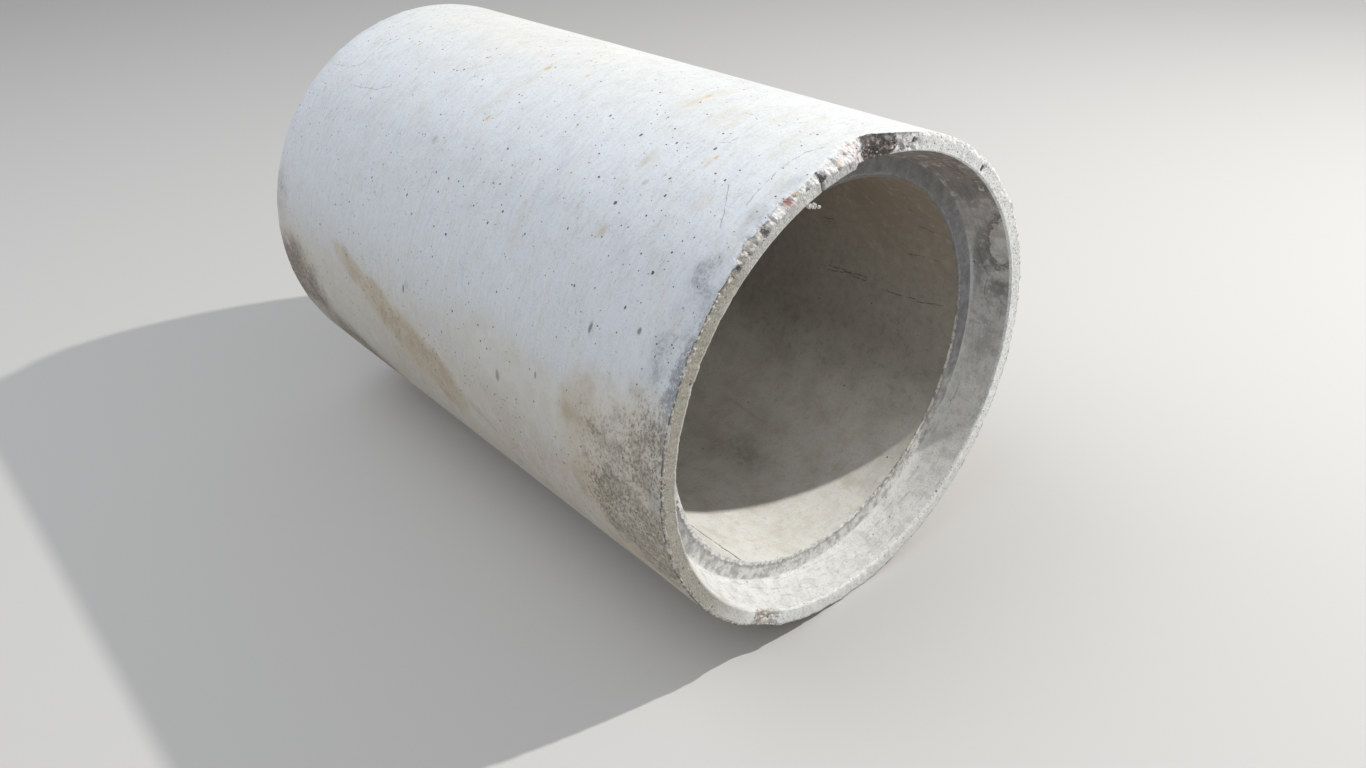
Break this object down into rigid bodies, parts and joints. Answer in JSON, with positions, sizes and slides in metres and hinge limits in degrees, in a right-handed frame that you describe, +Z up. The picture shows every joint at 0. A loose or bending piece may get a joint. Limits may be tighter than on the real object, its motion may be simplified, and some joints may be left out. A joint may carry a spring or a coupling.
{
  "type": "concrete sewer pipe",
  "caption": "Straight concrete sewer pipe with a tongue and groove joint, worn and chipped at its groove end, lying on its side.",
  "frame": {"origin": "on the floor, below the middle of the pipe", "axes": "+X along the pipe's axis towards its groove end, +Z up, the pipe lying level on its side"},
  "size_m": [1.231, 0.762, 0.762],
  "materials": {
    "concrete": "matte cast concrete, weathered"
  },
  "bodies": {
    "root": {"concrete_pipe": "concrete"}
  },
  "joints": []
}
